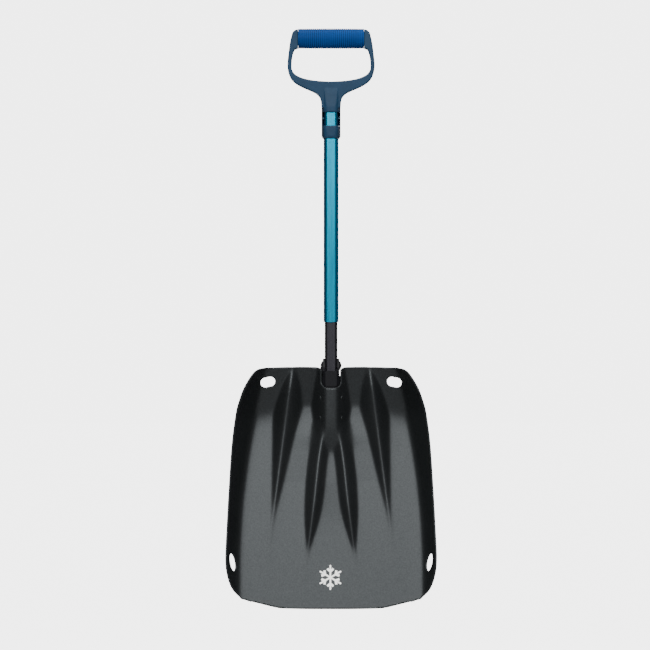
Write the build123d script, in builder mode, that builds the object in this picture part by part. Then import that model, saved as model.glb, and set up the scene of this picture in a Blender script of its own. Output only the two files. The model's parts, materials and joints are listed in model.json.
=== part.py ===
"""Avalanche shovel: D-handle, telescoping trapezoid shaft and a pressed aluminium scoop.

Millimetres. The origin is the centre of the grip, +Z runs up along the shaft, and the hollow
of the scoop faces -Y. The handle is at the top and the cutting edge of the scoop at the bottom.
"""

import os
from math import atan, cos, sin, sqrt

from build123d import *

os.makedirs("parts", exist_ok=True)

# D-handle
GRIP_LENGTH = 92.0
GRIP_RADIUS = 14.3
GRIP_GROOVE = 0.9
GRIP_PITCH = 2.9
CORE_RADIUS = 10.0
FRAME_HALF_DEPTH = 14.4
STEM_WALL = 2.9
STEM_TOP = -70.0
STEM_BOTTOM = -140.0
HANDLE_RIVET_Y = 4.0
HANDLE_RIVET_Z = -111.5
HANDLE_RIVET_RADIUS = 2.0
WINDOW_TOP = -103.0
WINDOW_BOTTOM = -122.0

# Shaft section, a rounded trapezoid with its narrow flat face to the front
FRONT_HALF = 7.2
BACK_HALF = 10.35
HALF_DEPTH = 14.0
TUBE_WALL = 1.35
SLIDE_GAP = 0.1
UPPER_TOP = -88.0
UPPER_BOTTOM = -396.6
LOWER_TOP = -168.0
LOWER_BOTTOM = -540.0

# Lock buttons, on the back of the shaft
BUTTON_RADIUS = 4.0
BUTTON_FLANGE = 5.2
HOLE_GAP = 0.1
SHAFT_LOCK_Z = -225.0
EXTENSION = 150.0
BLADE_LOCK_Z = -522.0
SPRING_THICKNESS = 0.7
SPRING_HALF_WIDTH = 4.5
SPRING_LENGTH = 34.0

# Scoop sheet
SHEET = 1.8
FLOOR_Y = 5.0
HEEL_Z = -523.0
FLOOR_SLOPE = 0.24
HEEL_SLOPE = 0.268
WALL_SLOPE = 1.5
FLANK_SLOPE = 0.95
DOME_SLOPE = 1.15
DOME_Y = -17.8
DOME_HALF = 8.4
HEEL_RADIUS = 70.0
WALL_RADIUS = 12.0
NOTCH_HALF = 14.0
NOTCH_BOTTOM = -489.0
BLADE_TOP = -460.0
BLADE_TIP = -795.3

# Socket between shaft and scoop
SOCKET_BOTTOM = -552.0
SOCKET_HALF = 17.0
SOCKET_BACK = 16.4
SHOULDER_Z = -472.0
COLLAR_HALF = 11.0
BLADE_RIVET_X = 16.0
BLADE_RIVETS_Z = (-503.0, -531.0)
BLADE_RIVET_RADIUS = 2.2


def shaft_section(inset):
    """The shaft's outline, moved inward by inset."""
    with BuildSketch() as section:
        with BuildLine():
            Polyline(
                (-FRONT_HALF, -HALF_DEPTH),
                (FRONT_HALF, -HALF_DEPTH),
                (BACK_HALF, 1.0),
                (BACK_HALF, HALF_DEPTH),
                (-BACK_HALF, HALF_DEPTH),
                (-BACK_HALF, 1.0),
                close=True,
            )
        make_face()
        fillet(section.vertices().group_by(Axis.Y)[0], 2.6)
        fillet(section.vertices().group_by(Axis.Y)[-1], 6.0)
        if inset:
            offset(amount=-inset)
    return section.sketch


upper_outer = shaft_section(0.0)
upper_inner = shaft_section(TUBE_WALL)
lower_outer = shaft_section(TUBE_WALL + SLIDE_GAP)
lower_inner = shaft_section(2 * TUBE_WALL + SLIDE_GAP)
plug_inner = shaft_section(2 * TUBE_WALL + 2 * SLIDE_GAP)
bore_section = shaft_section(TUBE_WALL)

# ---------------------------------------------------------------- handle

with BuildPart() as frame:
    with BuildSketch(Plane.XZ):
        with BuildLine():
            shoulder = ThreePointArc((47.0, 12.4), (52.4, 9.9), (55.1, 4.0))
            outer = Spline(
                shoulder @ 1, (57.3, -5.0), (59.0, -17.0), (60.6, -30.0), (61.0, -39.0), (59.4, -48.5),
                (54.8, -57.8), (44.0, -66.1), (34.8, -70.4), (25.2, -74.6), (18.6, -78.8), (15.2, -83.6),
                (13.9, -89.5), (13.3, -97.0),
            )
            Line(outer @ 1, (0, -97.0))
            Line((0, -97.0), (0, -60.5))
            inner = Spline(
                (0, -60.5), (16.0, -59.7), (30.8, -57.8), (45.0, -53.6), (51.1, -49.6), (54.4, -44.5),
                (55.3, -38.0), (54.9, -30.0), (53.5, -22.0), (50.9, -15.2),
            )
            Line(inner @ 1, (46.3, -13.4))
            Line((46.3, -13.4), (46.3, 12.4))
            Line((46.3, 12.4), shoulder @ 0)
        make_face()
        mirror(about=Plane.YZ)
    extrude(amount=FRAME_HALF_DEPTH, both=True)
    with BuildSketch(Plane.XY.offset(STEM_BOTTOM)):
        add(upper_outer)
        offset(amount=STEM_WALL)
    extrude(amount=STEM_TOP - STEM_BOTTOM)
    chamfer(frame.faces().sort_by(Axis.Z)[0].outer_wire().edges(), length=3.4, length2=1.6)
    with BuildSketch(Plane.YZ):
        with BuildLine():
            Polyline(
                (-FRAME_HALF_DEPTH, -50.0), (-FRAME_HALF_DEPTH, -66.0), (-17.2, -99.0), (-25.0, -99.0),
                (-25.0, -50.0), close=True,
            )
        make_face()
        mirror(about=Plane.YZ)
    extrude(amount=20, both=True, mode=Mode.SUBTRACT)
    with BuildSketch(Plane.XY.offset(STEM_BOTTOM - 1)):
        add(upper_outer)
    extrude(amount=UPPER_TOP - STEM_BOTTOM + 1, mode=Mode.SUBTRACT)
    with BuildSketch(Plane.YZ):
        Circle(CORE_RADIUS)
    extrude(amount=48.0, both=True)
    with BuildSketch(Plane.XY.offset(WINDOW_BOTTOM)):
        with BuildLine():
            Polyline(
                (-12.9, -20.0), (12.9, -20.0), (12.9, -3.0), (10.4, 12.0), (-10.4, 12.0), (-12.9, -3.0),
                close=True,
            )
        make_face()
    extrude(amount=WINDOW_TOP - WINDOW_BOTTOM, mode=Mode.SUBTRACT)
    with BuildSketch(Plane.YZ.offset(-20)):
        with Locations((HANDLE_RIVET_Y, HANDLE_RIVET_Z)):
            Circle(HANDLE_RIVET_RADIUS)
    extrude(amount=40, mode=Mode.SUBTRACT)
frame.part.label = "d_handle_frame"

with BuildPart() as grip:
    ridges = int(GRIP_LENGTH / GRIP_PITCH)
    with BuildSketch(Plane.XZ):
        with BuildLine():
            Line((-GRIP_LENGTH / 2, CORE_RADIUS), (GRIP_LENGTH / 2, CORE_RADIUS))
            Line((GRIP_LENGTH / 2, CORE_RADIUS), (GRIP_LENGTH / 2, GRIP_RADIUS - 0.5))
            ThreePointArc(
                (GRIP_LENGTH / 2, GRIP_RADIUS - 0.5), (0, GRIP_RADIUS), (-GRIP_LENGTH / 2, GRIP_RADIUS - 0.5)
            )
            Line((-GRIP_LENGTH / 2, GRIP_RADIUS - 0.5), (-GRIP_LENGTH / 2, CORE_RADIUS))
        make_face()
    revolve(axis=Axis.X)
    with BuildSketch(Plane.XZ):
        with GridLocations(GRIP_PITCH, 1, ridges, 1):
            with Locations((0, GRIP_RADIUS)):
                Rectangle(1.1, 2 * GRIP_GROOVE)
    revolve(axis=Axis.X, mode=Mode.SUBTRACT)
grip.part.label = "grip_sleeve"

with BuildPart() as handle_rivet:
    with BuildSketch(Plane.YZ):
        with Locations((HANDLE_RIVET_Y, HANDLE_RIVET_Z)):
            Circle(HANDLE_RIVET_RADIUS)
    extrude(amount=BACK_HALF + STEM_WALL, both=True)
    chamfer(handle_rivet.edges().filter_by(GeomType.CIRCLE), length=0.4)
handle_rivet.part.label = "handle_rivet"

with BuildPart() as upper_tube:
    with BuildSketch(Plane.XY.offset(UPPER_BOTTOM)):
        add(upper_outer)
        add(upper_inner, mode=Mode.SUBTRACT)
    extrude(amount=UPPER_TOP - UPPER_BOTTOM)
    with BuildSketch(Plane.XZ):
        with Locations((0, SHAFT_LOCK_Z), (0, SHAFT_LOCK_Z - EXTENSION)):
            Circle(BUTTON_RADIUS + HOLE_GAP)
    extrude(amount=-30, mode=Mode.SUBTRACT)
    with BuildSketch(Plane.YZ.offset(-20)):
        with Locations((HANDLE_RIVET_Y, HANDLE_RIVET_Z)):
            Circle(HANDLE_RIVET_RADIUS)
    extrude(amount=40, mode=Mode.SUBTRACT)
upper_tube.part.label = "upper_tube"

# ---------------------------------------------------------------- lower shaft

with BuildPart() as lower_tube:
    with BuildSketch(Plane.XY.offset(LOWER_BOTTOM)):
        add(lower_outer)
        add(lower_inner, mode=Mode.SUBTRACT)
    extrude(amount=LOWER_TOP - LOWER_BOTTOM)
    with BuildSketch(Plane.XZ):
        with Locations((0, SHAFT_LOCK_Z), (0, BLADE_LOCK_Z)):
            Circle(BUTTON_RADIUS + HOLE_GAP)
    extrude(amount=-30, mode=Mode.SUBTRACT)
lower_tube.part.label = "lower_tube"


def end_plug(tube_end, direction):
    """A plastic plug: a flange over the tube's end and a hollow body inside it."""
    with BuildPart() as plug:
        with BuildSketch(Plane.XY.offset(tube_end)):
            add(lower_outer)
        extrude(amount=2.5 * direction)
        with BuildSketch(Plane.XY.offset(tube_end)):
            add(plug_inner)
            offset(plug_inner, amount=-1.6, mode=Mode.SUBTRACT)
        extrude(amount=-10.0 * direction)
    return plug.part


top_plug = end_plug(LOWER_TOP, 1)
top_plug.label = "top_plug"
bottom_plug = end_plug(LOWER_BOTTOM, -1)
bottom_plug.label = "bottom_plug"

wall_inside = HALF_DEPTH - 2 * TUBE_WALL - SLIDE_GAP
flange_top = wall_inside - 0.15
flange_bottom = flange_top - 1.2


def lock_button(height, reach):
    """A round push button whose flange is held under the tube's back wall."""
    with BuildPart() as button:
        with BuildSketch(Plane.XZ.offset(-flange_bottom)):
            with Locations((0, height)):
                Circle(BUTTON_FLANGE)
        extrude(amount=-1.2)
        with BuildSketch(Plane.XZ.offset(-flange_top)):
            with Locations((0, height)):
                Circle(BUTTON_RADIUS)
        extrude(amount=flange_top - reach)
        fillet(button.faces().sort_by(Axis.Y)[-1].edges(), 0.8)
    return button.part


def leaf_spring(height, fold):
    """A folded steel leaf: one leg under the button, the other along the front wall."""
    under = flange_bottom - 0.05 - SPRING_THICKNESS / 2
    front = -wall_inside + 0.1 + SPRING_THICKNESS / 2
    bend = height + (SPRING_LENGTH - 4) * fold
    with BuildPart() as spring:
        with BuildSketch(Plane.YZ):
            with BuildLine():
                back_leg = Line((under, height - 7 * fold), (under, height + 7 * fold))
                fall = Line(back_leg @ 1, (-6.0, bend))
                turn = ThreePointArc(fall @ 1, (-8.0, bend + 3 * fold), (front, bend))
                Line(turn @ 1, (front, height - 7 * fold))
            trace(line_width=SPRING_THICKNESS)
        extrude(amount=SPRING_HALF_WIDTH, both=True)
    return spring.part


shaft_button = lock_button(SHAFT_LOCK_Z, HALF_DEPTH + 2.0)
shaft_button.label = "shaft_button"
shaft_spring = leaf_spring(SHAFT_LOCK_Z, -1)
shaft_spring.label = "shaft_spring"
blade_button = lock_button(BLADE_LOCK_Z, SOCKET_BACK + 1.6)
blade_button.label = "blade_button"
blade_spring = leaf_spring(BLADE_LOCK_Z, 1)
blade_spring.label = "blade_spring"

# ---------------------------------------------------------------- scoop

floor_tilt = atan(FLOOR_SLOPE)
floor_normal = (0, -cos(floor_tilt), sin(floor_tilt))


def scoop_outline(grow):
    """Closed outline of the scoop's floor between its side walls, on the floor plane."""
    with BuildSketch() as outline:
        with BuildLine():
            right = Spline(
                (86 + grow, 90), (105 + grow, 17.5), (123.8 + grow, -126.5), (129 + grow, -241.7),
                (128.4 + grow, -330),
            )
            Line(right @ 1, (-128.4 - grow, -330))
            mirror(right, about=Plane.YZ)
            Line((-86 - grow, 90), right @ 0)
        make_face()
    return outline.sketch


def rib_roof(top, tip, slope, inset):
    """A long ridge whose crest runs from top to tip and whose flanks fall back at the slope."""
    crest = Vector(*tip) - Vector(*top)
    middle = (Vector(*tip) + Vector(*top)) / 2
    up = Vector(0, -1, 0) - crest.normalized() * Vector(0, -1, 0).dot(crest.normalized())
    across = crest.cross(up).normalized()
    plane = Plane(origin=middle, x_dir=across, z_dir=crest.normalized())
    drop = inset * sqrt(1 + slope * slope)
    side = 1 if plane.y_dir.Y < 0 else -1
    with BuildPart() as roof:
        with BuildSketch(plane):
            with BuildLine():
                Polyline(
                    (0, -drop * side), (90 / slope, (-drop - 90) * side),
                    (-90 / slope, (-drop - 90) * side), close=True,
                )
            make_face()
        extrude(amount=260, both=True)
    return roof.part


def scoop_hollow(depth):
    """The space in front of the sheet; depth moves its back surface into the sheet."""
    spread = 1 / WALL_SLOPE
    start = depth * (sqrt(1 + spread * spread) - spread)
    with BuildPart() as hollow:
        fold_line = Vector(0, FLOOR_Y, HEEL_Z) - Vector(*floor_normal) * depth
        base = Plane(origin=fold_line, x_dir=(1, 0, 0), z_dir=floor_normal)
        with BuildSketch(base):
            add(scoop_outline(start))
        with BuildSketch(base.offset(120)):
            add(scoop_outline(start + 120 * spread))
        loft(ruled=True)
        back = FLOOR_Y + depth * sqrt(1 + HEEL_SLOPE * HEEL_SLOPE)
        with BuildSketch(Plane.YZ):
            with BuildLine():
                Polyline(
                    (back + HEEL_SLOPE * 60, HEEL_Z - 60), (back - HEEL_SLOPE * 110, HEEL_Z + 110),
                    (back + 200, HEEL_Z + 110), (back + 200, HEEL_Z - 60), close=True,
                )
            make_face()
        extrude(amount=250, both=True, mode=Mode.SUBTRACT)
        fillet(hollow.edges().filter_by(Axis.X).sort_by(Axis.Y)[-1], HEEL_RADIUS + depth)
        rims = [edge for edge in hollow.edges() if edge.center().Y > -60 and abs(edge.center().X) > 60]
        rims = [edge for edge in rims if edge.bounding_box().size.Z > 10]
        fillet(rims, WALL_RADIUS + depth)
    return hollow.part


outer_top = (53.8, -11.5, -461.0)
outer_shoulder = (56.9, -17.0, -485.0)
outer_bend = (65.1, -17.7, -548.0)
outer_tip = (81.6, -31.5, -675.0)
inner_top = (10.6, -18.0, -552.0)
inner_bend = (27.5, -40.6, -671.0)
inner_tip = (33.2, -42.7, -721.6)
web_top = (-5.5, -552.0)
web_slope = 0.219


def scoop_ribs(depth):
    """Dome over the socket, the four ribs and the raised web between the inner two, moved back by depth."""
    with BuildPart() as ribs:
        drop = depth * sqrt(1 + DOME_SLOPE * DOME_SLOPE)
        half = DOME_HALF - (drop - depth) / DOME_SLOPE
        front = DOME_Y + depth
        with BuildSketch(Plane.XY.offset(-650)):
            with BuildLine():
                Polyline(
                    (-half, front), (half, front), (half + 70 / DOME_SLOPE, front + 70),
                    (-half - 70 / DOME_SLOPE, front + 70), close=True,
                )
            make_face()
        extrude(amount=220)
        with BuildPart(mode=Mode.PRIVATE) as outer_rib:
            add(rib_roof(outer_shoulder, outer_bend, FLANK_SLOPE, depth))
            add(rib_roof(outer_bend, outer_tip, FLANK_SLOPE, depth))
            add(rib_roof(outer_top, outer_shoulder, FLANK_SLOPE, depth), mode=Mode.INTERSECT)
        add(outer_rib.part)
        with BuildPart(mode=Mode.PRIVATE) as inner_rib:
            add(rib_roof(inner_top, inner_bend, FLANK_SLOPE, depth))
            add(rib_roof(inner_bend, inner_tip, FLANK_SLOPE, depth), mode=Mode.INTERSECT)
        add(inner_rib.part)
        mirror(about=Plane.YZ)
        with BuildPart(mode=Mode.PRIVATE) as centre_web:
            back = web_top[0] + depth * sqrt(1 + web_slope * web_slope)
            with BuildSketch(Plane.YZ):
                with BuildLine():
                    Polyline(
                        (back, web_top[1]), (back - web_slope * 185, web_top[1] - 185),
                        (back + 60, web_top[1] - 185), (back + 60, web_top[1]), close=True,
                    )
                make_face()
            extrude(amount=60, both=True)
            with BuildSketch(Plane.XZ):
                with BuildLine():
                    Polyline(
                        (inner_top[0], inner_top[2]), (inner_tip[0], inner_tip[2]),
                        (inner_tip[0], web_top[1] - 185), (-inner_tip[0], web_top[1] - 185),
                        (-inner_tip[0], inner_tip[2]), (-inner_top[0], inner_top[2]), close=True,
                    )
                make_face()
            extrude(amount=150, both=True, mode=Mode.INTERSECT)
        add(centre_web.part)
    return ribs.part


rivet_seat_y = DOME_Y + DOME_SLOPE * (BLADE_RIVET_X - DOME_HALF)


def rivet_plane(height):
    """Plane on the dome's right flank, facing out of the sheet."""
    return Plane(origin=(BLADE_RIVET_X, rivet_seat_y, height), x_dir=(0, 0, 1), z_dir=(DOME_SLOPE, -1, 0))


with BuildPart() as rivet_holes:
    for height in BLADE_RIVETS_Z:
        with BuildSketch(rivet_plane(height)):
            Circle(BLADE_RIVET_RADIUS + 0.05)
        extrude(amount=6.0, both=True)
    mirror(about=Plane.YZ)

with BuildPart() as blade_rivets:
    for height in BLADE_RIVETS_Z:
        with BuildSketch(rivet_plane(height)):
            Circle(BLADE_RIVET_RADIUS)
        extrude(amount=-5.6)
        with BuildSketch(rivet_plane(height).offset(0.02)):
            Circle(3.4)
        extrude(amount=0.7, taper=35)
        with BuildSketch(rivet_plane(height)):
            Circle(BLADE_RIVET_RADIUS)
        extrude(amount=0.5)
    mirror(about=Plane.YZ)
blade_rivets.part.label = "blade_rivets"

with BuildPart() as blade:
    add(scoop_hollow(SHEET))
    add(scoop_ribs(SHEET), mode=Mode.SUBTRACT)
    with BuildPart(mode=Mode.PRIVATE) as front_hollow:
        add(scoop_hollow(0.0))
        add(scoop_ribs(0.0), mode=Mode.SUBTRACT)
    add(front_hollow.part, mode=Mode.SUBTRACT)
    with BuildSketch(Plane.XZ):
        with BuildLine():
            top = ThreePointArc((0, BLADE_TOP), (50, BLADE_TOP + 0.4), (90, BLADE_TOP - 0.8))
            side = Spline(
                top @ 1, (101.5, -463.6), (109.5, -471.0), (120.3, -489.0), (127.0, -507.0), (131.6, -525.0),
                (137.0, -567.0), (141.0, -627.0), (143.8, -680.0), (145.5, -724.0), (143.3, -747.0),
                (136.6, -766.5), (124.6, -781.5),
            )
            bevel = Line(side @ 1, (84, -791.6))
            tip = Spline(bevel @ 1, (76, -793.3), (67, -794.4), (34, -795.2), (0, BLADE_TIP))
            Line(tip @ 1, (0, BLADE_TOP))
        make_face()
        mirror(about=Plane.YZ)
        with BuildLine(mode=Mode.PRIVATE) as notch:
            lip = (NOTCH_HALF + 8, BLADE_TOP + 0.2)
            mouth = TangentArc(lip, (NOTCH_HALF, BLADE_TOP - 5), tangent=(-1, 0))
            Line(mouth @ 1, (NOTCH_HALF, NOTCH_BOTTOM + 9))
            Line(lip, (NOTCH_HALF + 8, BLADE_TOP + 3))
            Line((NOTCH_HALF + 8, BLADE_TOP + 3), (0, BLADE_TOP + 3))
            Line((0, BLADE_TOP + 3), (0, NOTCH_BOTTOM))
            Line((0, NOTCH_BOTTOM), (NOTCH_HALF - 9, NOTCH_BOTTOM))
            TangentArc((NOTCH_HALF - 9, NOTCH_BOTTOM), (NOTCH_HALF, NOTCH_BOTTOM + 9), tangent=(1, 0))
        notch_half = make_face(notch.line, mode=Mode.SUBTRACT)
        mirror(notch_half, about=Plane.YZ, mode=Mode.SUBTRACT)
        with Locations((-88.3, -480.8)):
            SlotOverall(20.5, 14.0, rotation=12, mode=Mode.SUBTRACT)
        with Locations((88.3, -480.8)):
            SlotOverall(20.5, 14.0, rotation=-12, mode=Mode.SUBTRACT)
        with Locations((-136.6, -730.5)):
            Ellipse(3.7, 12.5, rotation=10, mode=Mode.SUBTRACT)
        with Locations((136.6, -730.5)):
            Ellipse(3.7, 12.5, rotation=-10, mode=Mode.SUBTRACT)
    extrude(amount=250, both=True, mode=Mode.INTERSECT)
    add(rivet_holes.part, mode=Mode.SUBTRACT)
blade.part.label = "blade"

with BuildPart() as socket:
    flank_x = DOME_HALF - SHEET * (sqrt(1 + DOME_SLOPE**2) - 1) / DOME_SLOPE - 0.15
    front_y = DOME_Y + SHEET + 0.1
    with BuildSketch(Plane.XY.offset(SOCKET_BOTTOM)):
        with BuildLine():
            Polyline(
                (0, front_y), (flank_x, front_y),
                (SOCKET_HALF, front_y + DOME_SLOPE * (SOCKET_HALF - flank_x)), (SOCKET_HALF, 10.0),
                (SOCKET_HALF - 6.0, SOCKET_BACK), (0, SOCKET_BACK), close=True,
            )
        make_face()
        mirror(about=Plane.YZ)
    extrude(amount=SHOULDER_Z - SOCKET_BOTTOM)
    with BuildSketch(Plane.XY.offset(NOTCH_BOTTOM)):
        with BuildLine():
            Polyline(
                (0, front_y), (flank_x, front_y),
                (COLLAR_HALF, front_y + DOME_SLOPE * (COLLAR_HALF - flank_x)), (COLLAR_HALF + 0.6, 4.0),
                (COLLAR_HALF + 0.6, SOCKET_BACK - 3.0), (COLLAR_HALF - 2.4, SOCKET_BACK), (0, SOCKET_BACK),
                close=True,
            )
        make_face()
        mirror(about=Plane.YZ)
    extrude(amount=41.0)
    with BuildSketch(Plane.XZ.offset(-3)):
        with BuildLine():
            Polyline(
                (8.0, -464.0), (8.0, -452.4), (10.0, -449.6), (13.4, -452.6), (14.9, -457.4), (13.6, -461.6),
                (10.6, -466.0), close=True,
            )
        make_face()
        mirror(about=Plane.YZ)
    extrude(amount=-10.0)
    with BuildSketch(Plane.XZ.offset(2)):
        with Locations((-12.4, -467.0)):
            RectangleRounded(5.2, 16.0, 1.2)
    extrude(amount=-8.0)
    with BuildSketch(Plane.YZ):
        with BuildLine():
            Polyline(
                (-30, -465.0), (-10.0, -465.0), (-2.0, -459.5), (2.0, -447.0), (2.0, -430.0), (-30, -430),
                close=True,
            )
        make_face()
    extrude(amount=40, both=True, mode=Mode.SUBTRACT)
    with BuildSketch(Plane.XZ.offset(-front_y - 0.4)):
        with Locations((0, -475.8)):
            RectangleRounded(2 * flank_x + 1.0, 21.4, 2.6)
    extrude(amount=1.6)
    with BuildSketch(Plane.XY.offset(LOWER_BOTTOM - 2.6)):
        add(bore_section)
    extrude(amount=130, mode=Mode.SUBTRACT)
    with BuildSketch(Plane.XY.offset(SOCKET_BOTTOM - 1)):
        add(bore_section)
        offset(amount=-4.0)
    extrude(amount=40, mode=Mode.SUBTRACT)
    with BuildSketch(Plane.XZ):
        with Locations((0, BLADE_LOCK_Z)):
            Circle(BUTTON_RADIUS + HOLE_GAP)
    extrude(amount=-30, mode=Mode.SUBTRACT)
    add(rivet_holes.part, mode=Mode.SUBTRACT)
socket.part.label = "socket"

pieces = [
    frame.part, grip.part, handle_rivet.part, upper_tube.part, lower_tube.part, top_plug, bottom_plug,
    shaft_button, shaft_spring, blade_button, blade_spring, blade.part, socket.part, blade_rivets.part,
]
for piece in pieces:
    export_step(piece, f"parts/{piece.label}.step")
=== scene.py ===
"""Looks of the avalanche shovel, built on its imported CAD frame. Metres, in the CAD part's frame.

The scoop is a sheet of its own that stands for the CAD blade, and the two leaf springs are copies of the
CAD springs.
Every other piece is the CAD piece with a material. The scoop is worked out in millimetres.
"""

import json
import math

import bpy
import numpy as np
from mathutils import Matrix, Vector
from mathutils.geometry import delaunay_2d_cdt


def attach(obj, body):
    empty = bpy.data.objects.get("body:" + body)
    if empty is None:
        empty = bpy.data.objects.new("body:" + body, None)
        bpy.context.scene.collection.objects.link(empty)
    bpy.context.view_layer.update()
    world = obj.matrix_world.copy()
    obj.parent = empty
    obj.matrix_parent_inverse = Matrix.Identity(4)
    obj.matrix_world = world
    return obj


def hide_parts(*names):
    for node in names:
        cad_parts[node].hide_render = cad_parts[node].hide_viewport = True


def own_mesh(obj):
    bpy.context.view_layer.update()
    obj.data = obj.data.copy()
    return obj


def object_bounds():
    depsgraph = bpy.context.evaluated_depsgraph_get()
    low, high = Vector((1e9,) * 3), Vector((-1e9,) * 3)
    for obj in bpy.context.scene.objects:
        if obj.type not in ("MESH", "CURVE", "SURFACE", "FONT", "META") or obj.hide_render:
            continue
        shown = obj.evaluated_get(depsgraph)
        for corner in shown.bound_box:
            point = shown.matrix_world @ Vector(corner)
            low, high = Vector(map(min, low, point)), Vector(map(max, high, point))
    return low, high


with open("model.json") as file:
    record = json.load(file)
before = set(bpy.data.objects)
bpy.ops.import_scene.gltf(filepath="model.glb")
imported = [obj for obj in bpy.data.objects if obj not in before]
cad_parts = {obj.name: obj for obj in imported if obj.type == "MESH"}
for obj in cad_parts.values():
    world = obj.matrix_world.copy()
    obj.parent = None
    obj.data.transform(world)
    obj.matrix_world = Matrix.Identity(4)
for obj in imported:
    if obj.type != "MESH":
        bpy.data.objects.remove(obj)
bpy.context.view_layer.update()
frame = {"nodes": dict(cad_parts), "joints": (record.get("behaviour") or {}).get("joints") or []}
nodes = frame["nodes"]
travel = {joint["name"]: joint["range_m"][1] for joint in frame["joints"]}

MM = 0.001

# ---------------------------------------------------------------- scoop surface, in millimetres

# Lines along the scoop are given as a (z, value) point and a slope, which the functions below hold.
SHEET = 1.8
TIP_Z = -795.3
LOOP_ANGLES = np.linspace(0, 2 * math.pi, 40, endpoint=False)
FLOOR_Y, FLOOR_Z, FLOOR_SLOPE = 5.0, -523.0, 0.24
FLOOR_LIFT, LIFT_END, LIFT_LENGTH = 2.6, -620.0, 100.0
FOLD_Z, FOLD_DROP = -513.0, 11.0
HEEL_SLOPE, HEEL_SLOPE_GAIN = 0.2, 0.07
WALL_X, WALL_TURN_Z, WALL_CURVE = 130.0, -742.0, 5.0e-4
WALL_SLOPE, WALL_ROUND = 1.5, 3.0
DOME_Y, DOME_HALF, DOME_SLOPE = -17.8, 8.4, 1.15
DOME_END, DOME_END_SLOPE, DOME_ROUND = -549.0, 0.25, 1.2
FLANK_SLOPE = 0.95
OUTER_X = (-461.0, 53.8)
OUTER_TOP, OUTER_SHOULDER, OUTER_TIP = (-461.0, -10.0), (-485.0, -15.6), (-675.0, -32.6)
INNER_X = (-721.6, 33.2)
INNER_TOP, INNER_TIP = (-552.0, -18.0), (-721.6, -43.5)
OUTER_BLUNT, INNER_BLUNT, SHARPEST = 12.0, 10.0, 0.15
WEB_BACK, WEB_FORWARD, WEB_FLANK = 3.0, 5.6, 1.5


def nearer(a, b, soft):
    """The surface nearer to the front, with a rounded change-over."""
    return (a + b) / 2 - np.sqrt(((a - b) / 2) ** 2 + soft * soft)


def farther(a, b, soft):
    """The surface farther from the front, with a rounded change-over."""
    return (a + b) / 2 + np.sqrt(((a - b) / 2) ** 2 + soft * soft)


def share(value, start, length, least=0.0):
    """How far value has gone from start over the length, as a share from least to 1."""
    return np.clip((value - start) / length, least, 1)


def swell(value, centre, width):
    """A smooth bump, 1 at its centre."""
    return np.exp(-(((value - centre) / width) ** 2))


def along(z, point, slope):
    """A straight line over z, through a (z, value) point."""
    return point[1] + slope * (z - point[0])


def floor_front(side, z):
    """The sloping floor, which stands a little forward in the middle."""
    return FLOOR_Y + (z - FLOOR_Z) * FLOOR_SLOPE - FLOOR_LIFT * (1 - side) * share(z, LIFT_END, LIFT_LENGTH)


def heel_front(side, z):
    """The heel above the fold, which leans forward towards the top edge."""
    fold_z = FOLD_Z - FOLD_DROP * side
    fold_y = FLOOR_Y + (fold_z - FLOOR_Z) * FLOOR_SLOPE - FLOOR_LIFT * (1 - side)
    return fold_y - (z - fold_z) * (HEEL_SLOPE + HEEL_SLOPE_GAIN * side)


def wall_rise(across, z):
    """How far a side wall comes forward of the floor."""
    above = np.clip(z - WALL_TURN_Z, 0, None)
    wall = (across - WALL_X + WALL_CURVE * above * above) * WALL_SLOPE
    return farther(wall, 0.0, WALL_ROUND)


def dome_front(across, z):
    """The flat-topped dome over the socket, which falls away at its lower end."""
    top = farther(DOME_Y, DOME_Y + DOME_END_SLOPE * (DOME_END - z), DOME_ROUND) - DOME_ROUND / 2
    return top + DOME_SLOPE * farther(across - DOME_HALF, 0.0, DOME_ROUND)


def outer_front(across, z):
    """An outer rib, which rises from the top edge, runs level and sinks into the floor."""
    level = nearer(along(z, OUTER_SHOULDER, 0.01), along(z, OUTER_TIP, 0.125), 1.2)
    crest = farther(along(z, OUTER_TOP, 0.23), level, 0.8)
    blunt = OUTER_BLUNT * share(z, -700, 100, SHARPEST)
    return crest + FLANK_SLOPE * np.sqrt((across - along(z, OUTER_X, -0.131)) ** 2 + blunt)


def inner_crest_x(z):
    """The inner rib's crest, wider where it leaves the dome and again a little below."""
    return along(z, INNER_X, -0.133) + 1.6 * swell(z, -590, 40) + 2.2 * swell(z, -537, 13)


def inner_front(across, z):
    """An inner rib, which leaves the dome, comes forward and sinks into the floor."""
    crest = farther(along(z, INNER_TOP, 0.225), along(z, INNER_TIP, 0.03), 3.0)
    blunt = INNER_BLUNT * share(z, -740, 100, SHARPEST)
    return crest + FLANK_SLOPE * np.sqrt((across - inner_crest_x(z)) ** 2 + blunt)


def web_front(floor, across, z):
    """The raised floor between the inner ribs, which sinks behind the floor towards the tip."""
    forward = WEB_FORWARD * share(z, -730, 110)
    return floor + WEB_BACK - forward + WEB_FLANK * np.clip(across - inner_crest_x(z), 0, None)


def front_y(x, z):
    """Height of the scoop's front face over the XZ plane."""
    across = np.abs(x)
    side = share(across, 40, 60)
    side = side * side * (3 - 2 * side)
    floor = floor_front(side, z)
    result = nearer(floor, heel_front(side, z), 1.5 + 2.2 * side) - wall_rise(across, z)
    result = nearer(result, web_front(floor, across, z), 0.5)
    result = nearer(result, dome_front(across, z), 1.1)
    result = nearer(result, outer_front(across, z), 1.1)
    return nearer(result, inner_front(across, z), 0.9 + 1.6 * swell(z, -556, 16))


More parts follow.
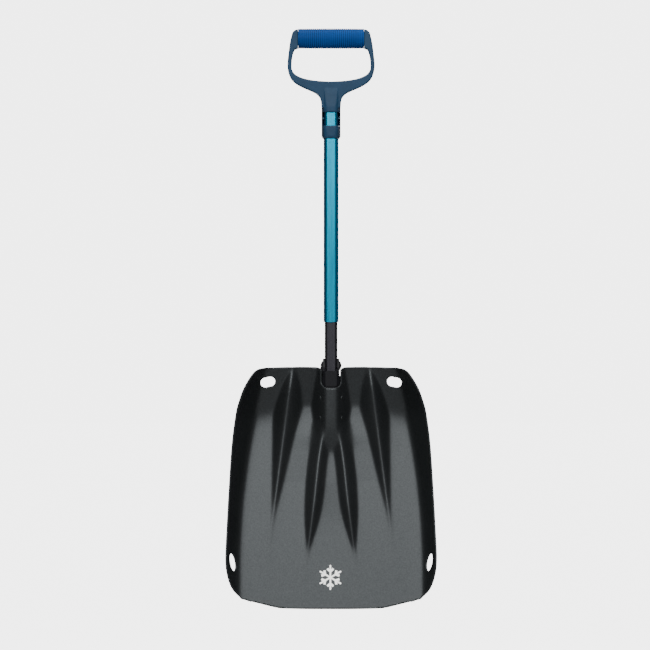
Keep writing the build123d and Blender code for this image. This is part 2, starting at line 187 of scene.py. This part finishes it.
def smooth_line(points, step):
    """Points along a smooth curve through the given ones, a Catmull-Rom spline."""
    points = [np.array(p, float) for p in points]
    points = [points[0] * 2 - points[1]] + points + [points[-1] * 2 - points[-2]]
    out = []
    for a, b, c, d in zip(points, points[1:], points[2:], points[3:]):
        count = max(1, int(np.linalg.norm(c - b) / step))
        for t in (i / count for i in range(count)):
            bend = 2 * a - 5 * b + 4 * c - d
            twist = 3 * b - a - 3 * c + d
            out.append(0.5 * (2 * b + (c - a) * t + bend * t * t + twist * t**3))
    return out


def arc(cx, cz, rx, rz, start, end, count):
    """Points on part of an ellipse, from one angle in degrees to another, without the last one."""
    return [
        np.array((cx + rx * math.cos(math.radians(a)), cz + rz * math.sin(math.radians(a))))
        for a in np.linspace(start, end, count, endpoint=False)
    ]


def straight(a, b, step):
    """Points from a towards b, without b itself."""
    a, b = np.array(a, float), np.array(b, float)
    count = max(1, int(np.linalg.norm(b - a) / step))
    return [a + (b - a) * i / count for i in range(count)]


def blade_outline(step):
    """Right half of the outline from the notch's bottom round to the tip, then mirrored."""
    half = straight((0, -489), (5, -489), step)
    half += arc(5, -480, 9, 9, -90, 0, 10)
    half += straight((14, -480), (14, -465), step)
    half += arc(22, -465, 8, 5.1, 180, 90, 9)
    half += smooth_line([(22, -459.9), (50, -459.6), (90, -460.8)], step)
    half += smooth_line(
        [
            (90, -460.8), (101.5, -463.6), (109.5, -471), (120.3, -489), (127, -507), (131.6, -525),
            (137, -567), (141, -627), (143.8, -680), (145.5, -724), (143.3, -747), (136.6, -766.5),
            (124.6, -781.5),
        ],
        step,
    )
    half += straight((124.6, -781.5), (84, -791.6), step)
    half += smooth_line([(84, -791.6), (76, -793.3), (67, -794.4), (34, -795.2), (0, -795.3)], step)
    mirrored = [np.array((-p[0], p[1])) for p in reversed(half[1:])]
    return half + [np.array((0, TIP_Z))] + mirrored


def turned_loop(centre, tilt, offsets):
    """A closed loop of (u, v) offsets, turned by tilt degrees about a centre."""
    cos_t, sin_t = math.cos(math.radians(tilt)), math.sin(math.radians(tilt))
    return [
        np.array((centre[0] + u * cos_t - v * sin_t, centre[1] + u * sin_t + v * cos_t)) for u, v in offsets
    ]


def slot_loop(centre, tilt, length, width):
    """A slot with round ends."""
    radius, reach = width / 2, (length - width) / 2
    offsets = []
    for a in LOOP_ANGLES:
        end = math.copysign(reach, math.cos(a))
        offsets.append((end + radius * math.cos(a), radius * math.sin(a)))
    return turned_loop(centre, tilt, offsets)


def ellipse_loop(centre, tilt, half_x, half_z):
    """An ellipse."""
    return turned_loop(centre, tilt, [(half_x * math.cos(a), half_z * math.sin(a)) for a in LOOP_ANGLES])


def inside(points, loop):
    """Which points lie inside a closed loop, by crossing count."""
    loop = np.array(loop)
    x, z = points[:, 0], points[:, 1]
    found = np.zeros(len(points), bool)
    for (x1, z1), (x2, z2) in zip(loop, np.roll(loop, -1, axis=0)):
        if z1 == z2:
            continue
        crosses = ((z1 > z) != (z2 > z)) & (x < (x2 - x1) * (z - z1) / (z2 - z1) + x1)
        found ^= crosses
    return found


def near_line(points, loop, limit):
    """Which points lie closer than limit to one of a loop's points."""
    found = np.zeros(len(points), bool)
    for p in loop:
        found |= np.hypot(points[:, 0] - p[0], points[:, 1] - p[1]) < limit
    return found


def make_mesh(name, verts, faces, smooth=True):
    """A mesh object in the scene from points and faces."""
    mesh = bpy.data.meshes.new(name)
    mesh.from_pydata([tuple(v) for v in verts], [], faces)
    mesh.update()
    if smooth:
        mesh.polygons.foreach_set("use_smooth", [True] * len(mesh.polygons))
    obj = bpy.data.objects.new(name, mesh)
    bpy.context.scene.collection.objects.link(obj)
    return obj


def build_blade():
    """The scoop's sheet: its outline and slots filled with triangles, set to depth and given thickness."""
    step = 1.6
    loops = [blade_outline(step)]
    for side in (-1, 1):
        loops.append(slot_loop((side * 88.3, -480.8), -12 * side, 20.5, 14.0))
        loops.append(ellipse_loop((side * 136.6, -730.5), -10 * side, 3.7, 12.5))
    xs = np.arange(-150, 150.1, step)
    zs = np.arange(-800, -455, step)
    grid = np.array([(x + (step / 2 if row % 2 else 0), z) for row, z in enumerate(zs) for x in xs])
    grid = grid[inside(grid, loops[0])]
    grid = grid[~near_line(grid, loops[0], step * 0.6)]
    for loop in loops[1:]:
        grid = grid[~inside(grid, loop)]
        grid = grid[~near_line(grid, loop, step * 0.6)]
    points, edges = [], []
    for loop in loops:
        start = len(points)
        points += [Vector((float(p[0]), float(p[1]))) for p in loop]
        edges += [(start + i, start + (i + 1) % len(loop)) for i in range(len(loop))]
    points += [Vector((float(p[0]), float(p[1]))) for p in grid]
    verts, _, faces, _, _, _ = delaunay_2d_cdt(points, edges, [], 0, 1e-5)
    flat = np.array([(v.x, v.y) for v in verts])
    centres = np.array([flat[list(f)].mean(0) for f in faces])
    keep = inside(centres, loops[0])
    for loop in loops[1:]:
        keep &= ~inside(centres, loop)
    faces = [tuple(f) for f, k in zip(faces, keep) if k]
    depth = front_y(flat[:, 0], flat[:, 1])
    solid = np.column_stack([flat[:, 0], depth, flat[:, 1]]) * MM
    obj = make_mesh("scoop_sheet", solid, faces)
    thick = obj.modifiers.new("sheet", "SOLIDIFY")
    thick.thickness = SHEET * MM
    thick.offset = -1
    thick.use_even_offset = False
    return obj


# ---------------------------------------------------------------- materials


def new_material(name):
    """A material with its node tree and its main shader."""
    material = bpy.data.materials.new(name)
    material.use_nodes = True
    tree = material.node_tree
    shader = tree.nodes["Principled BSDF"]
    return material, tree, shader


def link(tree, a, out, b, into):
    tree.links.new(a.outputs[out], b.inputs[into])


def add_node(tree, kind, **values):
    """A node whose inputs, or else settings, are given by name."""
    node = tree.nodes.new(kind)
    for key, value in values.items():
        if key in node.inputs:
            node.inputs[key].default_value = value
        else:
            setattr(node, key, value)
    return node


def object_coords(tree, scale=(1, 1, 1)):
    """The piece's own coordinates, stretched by scale."""
    coords = add_node(tree, "ShaderNodeTexCoord")
    mapping = add_node(tree, "ShaderNodeMapping")
    mapping.inputs["Scale"].default_value = scale
    link(tree, coords, "Object", mapping, "Vector")
    return mapping


def ramp(tree, low, high, first, second):
    """A colour ramp between two colours."""
    node = add_node(tree, "ShaderNodeValToRGB")
    node.color_ramp.elements[0].position = low
    node.color_ramp.elements[1].position = high
    node.color_ramp.elements[0].color = (*first, 1)
    node.color_ramp.elements[1].color = (*second, 1)
    return node


def anodised(
    name, colour, rough, metallic=1.0, speckle=900, bump=0.05, streak=(1, 1, 1), grit=0.1, edge=None
):
    """Metal with a bead-blasted grain, faint mottling and, on tubes, a drawn streak along the length."""
    material, tree, shader = new_material(name)
    shader.inputs["Metallic"].default_value = metallic
    fine = add_node(tree, "ShaderNodeTexNoise", Scale=speckle, Detail=3.0, Roughness=0.7)
    link(tree, object_coords(tree), "Vector", fine, "Vector")
    cloud = add_node(tree, "ShaderNodeTexNoise", Scale=14.0, Detail=4.0)
    link(tree, object_coords(tree, streak), "Vector", cloud, "Vector")
    shade = ramp(tree, 0.3, 0.7, [c * 0.93 for c in colour], [min(1, c * 1.07) for c in colour])
    link(tree, cloud, "Fac", shade, "Fac")
    grain = ramp(tree, 0.35, 0.65, [1 - grit] * 3, [1 + grit] * 3)
    if edge:
        shader.inputs["Specular Tint"].default_value = (*edge, 1)
    link(tree, fine, "Fac", grain, "Fac")
    mix = add_node(tree, "ShaderNodeMix", data_type="RGBA", blend_type="MULTIPLY")
    mix.inputs["Factor"].default_value = 1.0
    tree.links.new(shade.outputs["Color"], mix.inputs[6])
    tree.links.new(grain.outputs["Color"], mix.inputs[7])
    tree.links.new(mix.outputs[2], shader.inputs["Base Color"])
    gloss = add_node(tree, "ShaderNodeMapRange")
    gloss.inputs["To Min"].default_value = rough - 0.04
    gloss.inputs["To Max"].default_value = rough + 0.05
    link(tree, cloud, "Fac", gloss, "Value")
    link(tree, gloss, "Result", shader, "Roughness")
    dent = add_node(tree, "ShaderNodeBump", Strength=bump, Distance=0.0004)
    link(tree, fine, "Fac", dent, "Height")
    link(tree, dent, "Normal", shader, "Normal")
    return material


def moulded(name, colour, rough, grain_scale=1400, bump=0.12, sheen=0.5, rounding=0.0):
    """Moulded plastic or rubber with a fine spark-eroded grain."""
    material, tree, shader = new_material(name)
    fine = add_node(tree, "ShaderNodeTexNoise", Scale=grain_scale, Detail=2.0)
    link(tree, object_coords(tree), "Vector", fine, "Vector")
    cloud = add_node(tree, "ShaderNodeTexNoise", Scale=30.0, Detail=5.0)
    link(tree, object_coords(tree), "Vector", cloud, "Vector")
    shade = ramp(tree, 0.3, 0.7, [c * 0.88 for c in colour], [min(1, c * 1.12) for c in colour])
    link(tree, cloud, "Fac", shade, "Fac")
    link(tree, shade, "Color", shader, "Base Color")
    shader.inputs["Specular IOR Level"].default_value = sheen
    gloss = add_node(tree, "ShaderNodeMapRange")
    gloss.inputs["To Min"].default_value = rough - 0.06
    gloss.inputs["To Max"].default_value = rough + 0.06
    link(tree, cloud, "Fac", gloss, "Value")
    link(tree, gloss, "Result", shader, "Roughness")
    dent = add_node(tree, "ShaderNodeBump", Strength=bump, Distance=0.0003)
    link(tree, fine, "Fac", dent, "Height")
    if rounding:
        edges = add_node(tree, "ShaderNodeBevel", samples=8, Radius=rounding)
        link(tree, edges, "Normal", dent, "Normal")
    link(tree, dent, "Normal", shader, "Normal")
    return material


frame_plastic = moulded("frame_plastic", (0.022, 0.07, 0.14), 0.45, sheen=0.2, rounding=0.003)
grip_rubber = moulded("grip_rubber", (0.0, 0.075, 0.33), 0.55, sheen=0.12)
DRAWN = (60, 60, 1)
blue_tube = anodised(
    "blue_tube", (0.0, 0.62, 1.0), 0.3, speckle=500, bump=0.02, streak=DRAWN, grit=0.04,
    edge=(0.02, 0.3, 0.5),
)
dark_tube = anodised(
    "dark_tube", (0.075, 0.073, 0.085), 0.38, metallic=0.8, speckle=500, bump=0.02, streak=DRAWN, grit=0.05,
    edge=(0.3, 0.3, 0.3)
)
blade_metal = anodised(
    "blade_metal", (0.06, 0.065, 0.067), 0.42, metallic=0.78, speckle=520, bump=0.08, grit=0.12,
    edge=(0.35, 0.36, 0.38),
)
socket_plastic = moulded("socket_plastic", (0.015, 0.015, 0.018), 0.45, sheen=0.2)
mark_metal = anodised("mark_metal", (0.92, 0.92, 0.89), 0.44, speckle=520, bump=0.05, grit=0.06)
steel = anodised("steel", (0.6, 0.6, 0.62), 0.3)
dull_steel = anodised("dull_steel", (0.1, 0.17, 0.2), 0.45)
plug_plastic = moulded("plug_plastic", (0.02, 0.02, 0.02), 0.5)

finish = {
    "d_handle_frame": frame_plastic,
    "grip_sleeve": grip_rubber,
    "handle_rivet": dull_steel,
    "upper_tube": blue_tube,
    "lower_tube": dark_tube,
    "top_plug": plug_plastic,
    "bottom_plug": plug_plastic,
    "shaft_button": steel,
    "shaft_spring": steel,
    "blade_button": steel,
    "blade_spring": steel,
    "blade": blade_metal,
    "socket": socket_plastic,
    "blade_rivets": blade_metal,
}
for name, material in finish.items():
    nodes[name].data.materials.clear()
    nodes[name].data.materials.append(material)


def paint_groove_shade(material, pitch, width, shade_level):
    """Paints shade into a moulded material's colour in the grooves of its rings, which repeat along X; the
    rubber itself is no darker there.
    """
    tree = material.node_tree
    shader = tree.nodes["Principled BSDF"]
    coords = add_node(tree, "ShaderNodeTexCoord")
    split = add_node(tree, "ShaderNodeSeparateXYZ")
    link(tree, coords, "Object", split, "Vector")
    wrap = add_node(tree, "ShaderNodeMath", operation="PINGPONG")
    wrap.inputs[1].default_value = pitch / 2
    link(tree, split, "X", wrap, 0)
    # painted shade: a colour factor from the shade level in a groove's middle up to 1 on the ridges
    shade_band = add_node(tree, "ShaderNodeMapRange", interpolation_type="SMOOTHSTEP")
    shade_band.inputs["From Min"].default_value = width * 0.35
    shade_band.inputs["From Max"].default_value = width * 0.7
    shade_band.inputs["To Min"].default_value = shade_level
    shade_band.inputs["To Max"].default_value = 1.0
    link(tree, wrap, 0, shade_band, "Value")
    old = shader.inputs["Base Color"].links[0].from_socket
    mix = add_node(tree, "ShaderNodeMix", data_type="RGBA", blend_type="MULTIPLY")
    mix.inputs["Factor"].default_value = 1.0
    tree.links.new(old, mix.inputs[6])
    tree.links.new(shade_band.outputs["Result"], mix.inputs[7])
    tree.links.new(mix.outputs[2], shader.inputs["Base Color"])


GRIP_PITCH, GRIP_GROOVE = 2.9 * MM, 1.1 * MM
# painted shade: the grip's ring grooves are darkened to 0.55 of the rubber's colour
paint_groove_shade(grip_rubber, GRIP_PITCH, GRIP_GROOVE, 0.55)


def soften(name, width, angle=30, segments=3):
    """Rounds a CAD piece's sharp edges without touching its mesh."""
    obj = nodes[name]
    weld = obj.modifiers.new("weld", "WELD")
    weld.merge_threshold = 0.00002
    bevel = obj.modifiers.new("bevel", "BEVEL")
    bevel.width = width
    bevel.segments = segments
    bevel.angle_limit = math.radians(angle)
    bevel.harden_normals = True


soften("d_handle_frame", 0.9 * MM)
soften("socket", 0.5 * MM, segments=2)

# ---------------------------------------------------------------- scoop

scoop = build_blade()
scoop.data.materials.append(blade_metal)
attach(scoop, "scoop")
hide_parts("blade")


def build_mark(centre_x, centre_z, reach):
    """A generic six-armed snowflake, printed on the sheet's front face."""
    arm = [
        (0.119, -0.069), (0.42, -0.069), (0.62, -0.3), (0.76, -0.18), (0.66, -0.069), (0.94, -0.069),
        (1.0, 0.0), (0.94, 0.069), (0.66, 0.069), (0.76, 0.18), (0.62, 0.3), (0.42, 0.069),
    ]
    outline = []
    for turn in range(6):
        angle = math.radians(90 + 60 * turn)
        for u, v in arm:
            across = u * math.cos(angle) - v * math.sin(angle)
            along = u * math.sin(angle) + v * math.cos(angle)
            outline.append(Vector((centre_x + reach * across, centre_z + reach * along)))
    count = len(outline)
    verts, _, faces, _, _, _ = delaunay_2d_cdt(outline, [], [list(range(count))], 1, 1e-5)
    flat = np.array([(v.x, v.y) for v in verts])
    depth = front_y(flat[:, 0], flat[:, 1]) - 0.16
    solid = np.column_stack([flat[:, 0], depth, flat[:, 1]]) * MM
    obj = make_mesh("scoop_mark", solid, [tuple(f) for f in faces], smooth=False)
    obj.data.materials.append(mark_metal)
    thick = obj.modifiers.new("print", "SOLIDIFY")
    thick.thickness = 0.0001
    thick.offset = -1
    return obj


mark = build_mark(-1.0, -752.0, 17.5)
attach(mark, "scoop")

# ---------------------------------------------------------------- leaf springs


def flexing_leaf(node):
    """A copy of a leaf spring, carried by the lower shaft in place of the CAD piece; the real spring
    flattens towards the tube's front wall as its button is pressed.
    """
    leaf = bpy.data.objects.new(node + "_leaf", nodes[node].data.copy())
    bpy.context.scene.collection.objects.link(leaf)
    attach(leaf, "lower_shaft")
    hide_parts(node)
    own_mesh(leaf)


flexing_leaf("shaft_spring")
flexing_leaf("blade_spring")

# ---------------------------------------------------------------- stage, light and camera

low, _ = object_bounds()
WHITE = 4.5
AMBIENT = (0.1, 0.1, 0.108, 1)
PAPER = (0.45, 0.45, 0.45, 1)
FLOOR_HALF = 30
FLOOR_GAP = 0.005

floor_material, floor_tree, floor_shader = new_material("stage_paper")
floor_shader.inputs["Base Color"].default_value = PAPER
floor_shader.inputs["Roughness"].default_value = 0.9
floor_shader.inputs["Emission Color"].default_value = (1, 1, 1, 1)
floor_seen = add_node(floor_tree, "ShaderNodeLightPath")
floor_glow = add_node(floor_tree, "ShaderNodeMath", operation="MULTIPLY")
floor_glow.inputs[1].default_value = WHITE
floor_tree.links.new(floor_seen.outputs["Is Camera Ray"], floor_glow.inputs[0])
floor_tree.links.new(floor_glow.outputs[0], floor_shader.inputs["Emission Strength"])

floor_z = low.z - travel["telescope"] - travel["blade_pull"] - FLOOR_GAP
corners = ((-1, -1), (1, -1), (1, 1), (-1, 1))
floor = make_mesh(
    "stage_floor", [(FLOOR_HALF * u, FLOOR_HALF * v, floor_z) for u, v in corners], [(0, 1, 2, 3)],
    smooth=False,
)
floor.data.materials.append(floor_material)

world = bpy.data.worlds.new("studio")
world.use_nodes = True
world_tree = world.node_tree
background = world_tree.nodes["Background"]
path = add_node(world_tree, "ShaderNodeLightPath")
shade = add_node(world_tree, "ShaderNodeMix", data_type="RGBA")
shade.inputs[6].default_value = AMBIENT
shade.inputs[7].default_value = (WHITE, WHITE, WHITE, 1)
world_tree.links.new(path.outputs["Is Camera Ray"], shade.inputs["Factor"])
world_tree.links.new(shade.outputs[2], background.inputs["Color"])
bpy.context.scene.world = world


def area_light(name, place, target, width, height, power):
    """A soft rectangular light, aimed at a target."""
    data = bpy.data.lights.new(name, "AREA")
    data.shape = "RECTANGLE"
    data.size = width
    data.size_y = height
    data.energy = power
    obj = bpy.data.objects.new(name, data)
    bpy.context.scene.collection.objects.link(obj)
    obj.location = place
    obj.rotation_euler = (Vector(target) - Vector(place)).to_track_quat("-Z", "Y").to_euler()
    return obj


area_light("key", (-0.2, -2.7, 1.1), (0, 0, -0.5), 2.2, 1.5, 66)
area_light("top", (0, -0.1, 1.8), (0, 0, -0.3), 1.4, 1.0, 25)
area_light("back", (1.2, 2.6, 1.1), (0, 0, -0.5), 2.2, 1.5, 45)

SENSOR, DISTANCE, VIEW_WIDTH = 36, 8.0, 0.91
camera_data = bpy.data.cameras.new("camera")
camera_data.sensor_width = SENSOR
camera_data.lens = SENSOR * DISTANCE / VIEW_WIDTH
camera_data.clip_end = 100
camera = bpy.data.objects.new("camera", camera_data)
bpy.context.scene.collection.objects.link(camera)
camera.location = (-0.0085, -DISTANCE, -0.4008)
camera.rotation_euler = (math.radians(90), 0, 0)
bpy.context.scene.camera = camera
